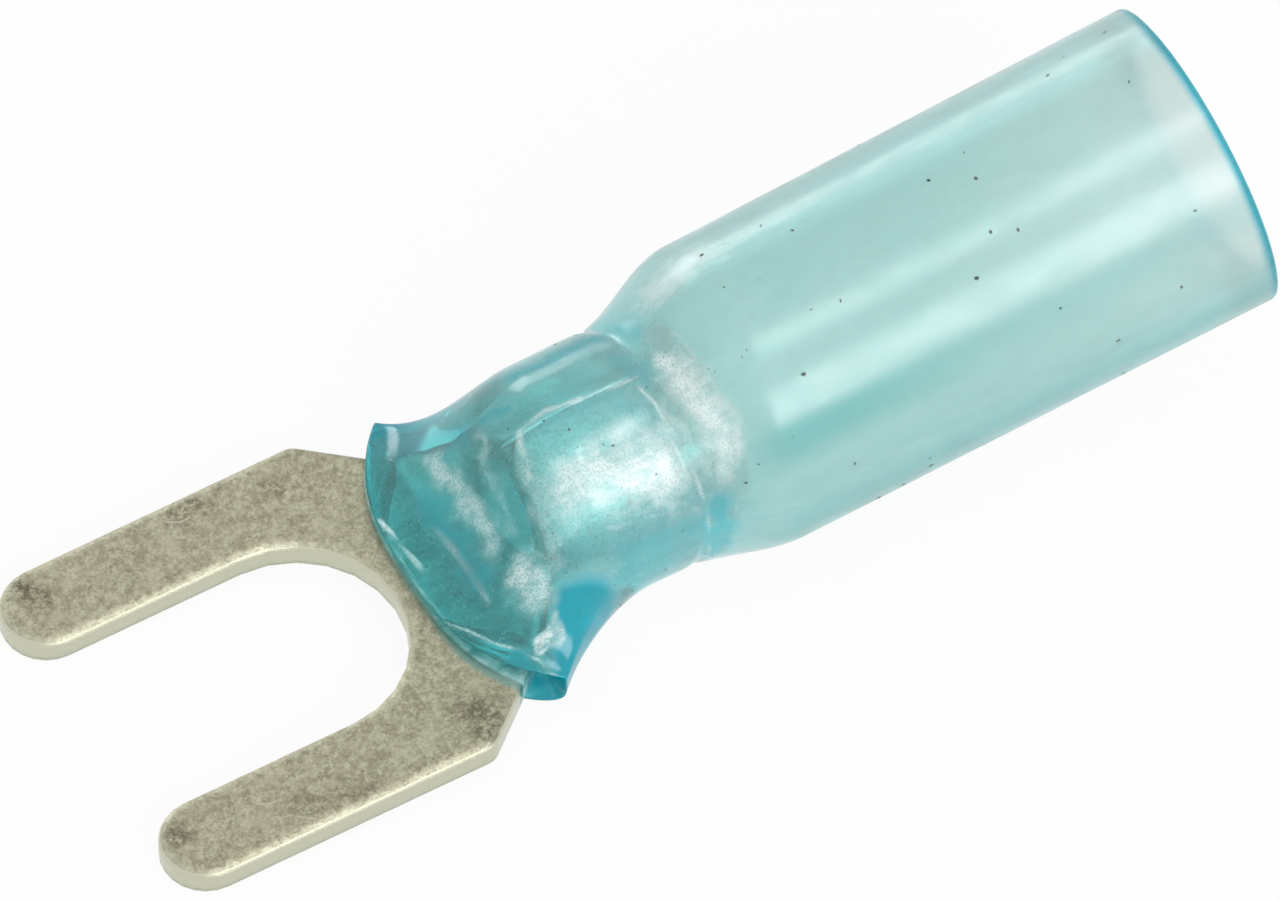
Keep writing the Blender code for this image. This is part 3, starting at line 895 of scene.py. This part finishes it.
def tin_finish():
    """Tinned copper: dull, speckled and scuffed in the open, bright and stained under the sleeve."""
    finish = Finish("tinned_sheet")
    finish.feed(1.0, "Metallic")
    grain = finish.noise(TIN_GRAIN, 2.0, 0.65)
    mottle = finish.noise(TIN_MOTTLE, 3.0, 0.6, colour=True)
    patch = finish.vector("DOT_PRODUCT", mottle, (1.0, 0.0, 0.0))
    flow = finish.noise(TIN_FLOW, 2.0, 0.6, (2.4, 1.0, 1.0))
    facing = finish.nodes.new("ShaderNodeSeparateXYZ")
    finish.links.new(finish.coordinates.outputs["Normal"], facing.inputs[0])
    edge = finish.rise(finish.value("ABSOLUTE", facing.outputs["Z"]), 0.97, 0.75)
    colour, rounded = open_tin(finish, grain, mottle, patch, edge)
    side = finish.value("ABSOLUTE", finish.across)
    bow = finish.value("POWER", finish.value("DIVIDE", side, LIP_WIDTH / 2 / MM), 3.0)
    bow = finish.times(bow, LIP_CORNER_SETBACK / MM)
    behind_lip = finish.value("SUBTRACT", finish.along, bow)
    behind_lip = finish.value("SUBTRACT", behind_lip, LIP_FRONT / MM)
    spill = finish.rise(finish.across, 0.5, -3.0, 0.10, 0.42)
    reach = finish.value("ADD", behind_lip, spill)
    film = finish.rise(reach, finish.times(patch, 0.2), 0.28, 0.0, 0.75)
    colour = finish.tint(film, colour, TIN_FILM)
    covered = finish.rise(behind_lip, -0.03, 0.08)
    finish.feed(finish.tint(covered, colour, covered_tin(finish, grain, flow)), "Base Color")
    rough = finish.nodes.new("ShaderNodeMix")
    open_roughness = finish.times(finish.rise(grain, *NOISE_SPREAD, *TIN_ROUGHNESS),
                                  finish.rise(edge, 0.0, 1.0, 1.0, 0.7))
    covered_roughness = finish.rise(flow, *NOISE_SPREAD, *COVERED_ROUGHNESS)
    finish.links.new(covered, rough.inputs[0])
    finish.links.new(open_roughness, rough.inputs[2])
    finish.links.new(covered_roughness, rough.inputs[3])
    finish.feed(rough.outputs[0], "Roughness")
    finish.bump(grain, rounded)
    return finish.material


def lining_finish():
    """Lining with air under it: silvery white."""
    finish = Finish("milky_lining")
    finish.feed(finish.ramp(finish.noise(0.4, 3.0), *LINING_SHADES), "Base Color")
    finish.feed(finish.rise(finish.noise(0.1), *NOISE_SPREAD, *LINING_ROUGHNESS), "Roughness")
    finish.feed(1.0, "Metallic")
    return finish.material


def speck_finish():
    """Grime: dark and brownish specks."""
    finish = Finish("grime")
    finish.feed(finish.ramp(finish.noise(0.6, 2.0), *GRIME_SHADES), "Base Color")
    finish.feed(finish.rise(finish.noise(0.05), *NOISE_SPREAD, *GRIME_ROUGHNESS), "Roughness")
    return finish.material


def scatter_tree():
    """Node tree that scatters small grains over a surface."""
    tree = bpy.data.node_groups.new("scatter_grains", "GeometryNodeTree")
    kinds = {"Surface": "Geometry", "Grains per square metre": "Float", "Grain radius": "Float",
             "Seed": "Int", "Material": "Material"}
    for name, kind in kinds.items():
        tree.interface.new_socket(name, in_out="INPUT", socket_type="NodeSocket" + kind)
    tree.interface.new_socket("Grains", in_out="OUTPUT", socket_type="NodeSocketGeometry")
    given = tree.nodes.new("NodeGroupInput")
    result = tree.nodes.new("NodeGroupOutput")
    points = tree.nodes.new("GeometryNodeDistributePointsOnFaces")
    grain = tree.nodes.new("GeometryNodeMeshIcoSphere")
    size = tree.nodes.new("FunctionNodeRandomValue")
    place = tree.nodes.new("GeometryNodeInstanceOnPoints")
    realize = tree.nodes.new("GeometryNodeRealizeInstances")
    paint = tree.nodes.new("GeometryNodeSetMaterial")
    grain.inputs["Subdivisions"].default_value = 1
    size.data_type = "FLOAT_VECTOR"
    size.inputs[0].default_value = GRAIN_SMALLEST
    size.inputs[1].default_value = GRAIN_LARGEST
    wires = (
        (given, "Surface", points, "Mesh"),
        (given, "Grains per square metre", points, "Density"),
        (given, "Seed", points, "Seed"),
        (given, "Seed", size, "Seed"),
        (given, "Grain radius", grain, "Radius"),
        (points, "Points", place, "Points"),
        (points, "Rotation", place, "Rotation"),
        (grain, "Mesh", place, "Instance"),
        (size, "Value", place, "Scale"),
        (place, "Instances", realize, "Geometry"),
        (realize, "Geometry", paint, "Geometry"),
        (given, "Material", paint, "Material"),
        (paint, "Geometry", result, "Grains"),
    )
    for start, output, end, entry in wires:
        tree.links.new(start.outputs[output], end.inputs[entry])
    return tree


def scatter_specks(tree, material, name, start, end, density, radius, seed):
    """Specks on the sleeve's skin between two stations."""
    mesh = bmesh.new()
    rings = []
    for step in range(SPECK_RINGS + 1):
        x = mix(start, end, step / SPECK_RINGS)
        rings.append([mesh.verts.new(p) for p in ring_points(x, outside(x), shrunk=True)])
    data = stored(name + "_ground", skin_over(mesh, rings, ends=False))
    data.transform(PLACE)
    ground = put_in_scene(name + "_ground", data)
    modifier = ground.modifiers.new("scatter", "NODES")
    modifier.node_group = tree
    values = {"Grains per square metre": density, "Grain radius": radius, "Seed": seed,
              "Material": material}
    for item in tree.interface.items_tree:
        if item.in_out == "INPUT" and item.name in values:
            modifier[item.identifier] = values[item.name]
    graph = bpy.context.evaluated_depsgraph_get()
    grains = bpy.data.meshes.new_from_object(ground.evaluated_get(graph), depsgraph=graph)
    bpy.data.objects.remove(ground, do_unlink=True)
    grains.name = name
    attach(put_in_scene(name, grains), "root")


def math_node(nodes, links, operation, *sources):
    """Result of one sum in the table's, the studio's or a lamp's nodes."""
    node = nodes.new("ShaderNodeMath")
    node.operation = operation
    for source, socket in zip(sources, node.inputs):
        if isinstance(source, float):
            socket.default_value = source
        else:
            links.new(source, socket)
    return node.outputs[0]


def seen_directly(nodes, links):
    """1 for camera, mirror and see-through rays, 0 for the light that lands on surfaces."""
    rays = nodes.new("ShaderNodeLightPath").outputs
    seen = math_node(nodes, links, "MAXIMUM", rays["Is Camera Ray"], rays["Is Glossy Ray"])
    return math_node(nodes, links, "MAXIMUM", seen, rays["Is Transmission Ray"])


def lay_floor():
    """Plain pale floor that reads as white and keeps the part's shadow."""
    mesh = bmesh.new()
    bmesh.ops.create_grid(mesh, x_segments=1, y_segments=1, size=FLOOR_HALF)
    floor = put_in_scene("floor", stored("floor", mesh))
    material = bpy.data.materials.new("floor_paper")
    material.use_nodes = True
    nodes = material.node_tree.nodes
    links = material.node_tree.links
    shader = nodes["Principled BSDF"]
    shader.inputs["Base Color"].default_value = (FLOOR_GREY, FLOOR_GREY, FLOOR_GREY, 1.0)
    shader.inputs["Roughness"].default_value = FLOOR_ROUGHNESS
    shader.inputs["Specular IOR Level"].default_value = 0.0
    glow = nodes.new("ShaderNodeEmission")
    glow.inputs["Strength"].default_value = 1.0
    share = math_node(nodes, links, "MULTIPLY", seen_directly(nodes, links), FLOOR_GLOW)
    both = nodes.new("ShaderNodeMixShader")
    links.new(share, both.inputs["Fac"])
    links.new(shader.outputs["BSDF"], both.inputs[1])
    links.new(glow.outputs["Emission"], both.inputs[2])
    links.new(both.outputs["Shader"], nodes["Material Output"].inputs["Surface"])
    material.cycles.emission_sampling = "NONE"
    floor.data.materials.append(material)


def light_world():
    """Even studio light all round, white where it is seen."""
    world = bpy.data.worlds.new("studio")
    bpy.context.scene.world = world
    world.use_nodes = True
    nodes = world.node_tree.nodes
    links = world.node_tree.links
    background = nodes["Background"]
    strength = nodes.new("ShaderNodeMapRange")
    links.new(seen_directly(nodes, links), strength.inputs["Value"])
    strength.inputs["To Min"].default_value = STUDIO_LEVEL
    strength.inputs["To Max"].default_value = STUDIO_SEEN
    background.inputs["Color"].default_value = (1.0, 1.0, 1.0, 1.0)
    links.new(strength.outputs["Result"], background.inputs["Strength"])
    world.cycles.sampling_method = "NONE"


def fade_to_edges(lamp, fade):
    """Cloth of a softbox: full light in the middle, none at the frame."""
    lamp.use_nodes = True
    nodes = lamp.node_tree.nodes
    links = lamp.node_tree.links
    ground = nodes.new("ShaderNodeNewGeometry")
    sides = nodes.new("ShaderNodeSeparateXYZ")
    links.new(ground.outputs["Parametric"], sides.inputs[0])
    limits = {"From Min": 0.5, "From Max": 0.5 - fade / 2, "To Min": 0.0, "To Max": 1.0}
    shares = []
    for side in sides.outputs[:2]:
        off = math_node(nodes, links, "SUBTRACT", side, 0.5)
        fall = nodes.new("ShaderNodeMapRange")
        fall.interpolation_type = "SMOOTHSTEP"
        for name, limit in limits.items():
            fall.inputs[name].default_value = limit
        links.new(math_node(nodes, links, "ABSOLUTE", off), fall.inputs["Value"])
        shares.append(fall.outputs["Result"])
    both = math_node(nodes, links, "MULTIPLY", *shares)
    links.new(both, nodes["Emission"].inputs["Strength"])


def softbox(name, azimuth, elevation, width, height, radiance):
    """Rectangular lamp that faces the part from a direction given in degrees."""
    lamp = bpy.data.lights.new(name, "AREA")
    lamp.shape = "RECTANGLE"
    lamp.size = width
    lamp.size_y = height
    lamp.energy = math.pi * width * height * radiance
    fade_to_edges(lamp, SOFTBOX_FADE)
    azimuth, elevation = math.radians(azimuth), math.radians(elevation)
    level = math.cos(elevation)
    towards = Vector((level * math.cos(azimuth), level * math.sin(azimuth), math.sin(elevation)))
    spot = put_in_scene(name, lamp)
    spot.location = towards * SOFTBOX_DISTANCE
    spot.rotation_euler = towards.to_track_quat("Z", "Y").to_euler()


def place_camera():
    """Parallel view at the photo's angle and framing, as the photo was taken with a very long lens."""
    turn = Matrix.Rotation(VIEW_TURN, 3, "Z")
    tip = Matrix(((1, 0, 0), (0, math.sin(VIEW_ELEVATION), math.cos(VIEW_ELEVATION)),
                  (0, -math.cos(VIEW_ELEVATION), math.sin(VIEW_ELEVATION))))
    view = Matrix.Rotation(VIEW_ROLL, 3, "Z") @ tip @ turn
    right, up, back = view
    centre = right * ((PHOTO_WIDTH / 2 - ORIGIN_PIXEL[0]) / PIXELS_PER_M)
    centre += up * ((ORIGIN_PIXEL[1] - PHOTO_HEIGHT / 2) / PIXELS_PER_M)
    camera = put_in_scene("camera", bpy.data.cameras.new("camera"))
    camera.data.type = "ORTHO"
    camera.data.ortho_scale = PHOTO_WIDTH / PIXELS_PER_M
    camera.data.clip_start = CLIP_START
    camera.data.clip_end = CLIP_END
    stand = Matrix.Translation(centre + back * CAMERA_DISTANCE) @ view.transposed().to_4x4()
    camera.matrix_world = PLACE @ stand
    bpy.context.scene.camera = camera


sleeve = finish_piece("clear_sleeve", sleeve_mesh(), sleeve_finish(), paint_skin)
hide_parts("shrink_sleeve")
fork = frame["nodes"]["fork_terminal"]
fork.data.materials.clear()
fork.data.materials.append(tin_finish())
finish_piece("seam_lining", seam_lining_mesh(), lining_finish())
grains = scatter_tree()
grime = speck_finish()
for name, values in SPECKS.items():
    scatter_specks(grains, grime, name, *values)
lay_floor()
light_world()
for name, values in SOFTBOXES.items():
    softbox(name, *values)
place_camera()
bpy.context.scene.view_settings.view_transform = "Standard"
